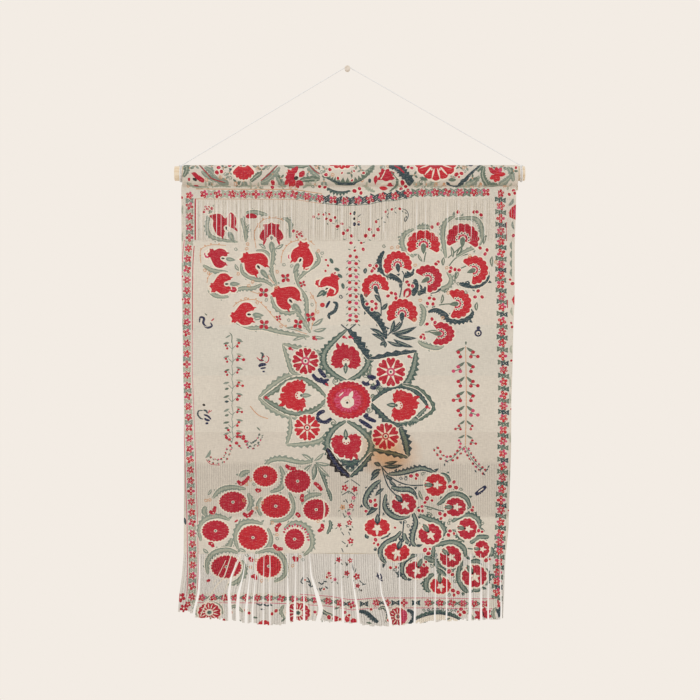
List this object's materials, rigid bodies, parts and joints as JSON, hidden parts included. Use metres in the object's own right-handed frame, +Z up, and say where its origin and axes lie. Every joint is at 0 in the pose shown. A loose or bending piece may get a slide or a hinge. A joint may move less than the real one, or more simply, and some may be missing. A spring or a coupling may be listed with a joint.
{
  "type": "printed suzani pattern cloth wall hanging on a wooden dowel with cord and peg",
  "caption": "Flat woven cotton hanging with a printed suzani flower pattern, a rod sleeve over a round dowel, a warp fringe, and a cord over a wall peg.",
  "frame": {"origin": "centre of the peg's flat back face, on the wall plane", "axes": "+X along the dowel, to the right as seen from the front; +Z up; +Y into the wall, so the printed face looks along -Y"},
  "size_m": [0.457, 0.0238, 0.7321],
  "materials": {
    "cloth": "printed plain-woven cotton with bands of bare warp, matt",
    "fringe": "printed loose cotton warp threads, matt",
    "dowel": "sanded bare pale wood",
    "cord": "thin twisted pale cord",
    "peg": "turned pale wood, satin"
  },
  "bodies": {
    "root": {"cloth": "cloth", "fringe": "fringe", "dowel": "dowel", "cord": "cord", "peg": "peg"}
  },
  "joints": []
}
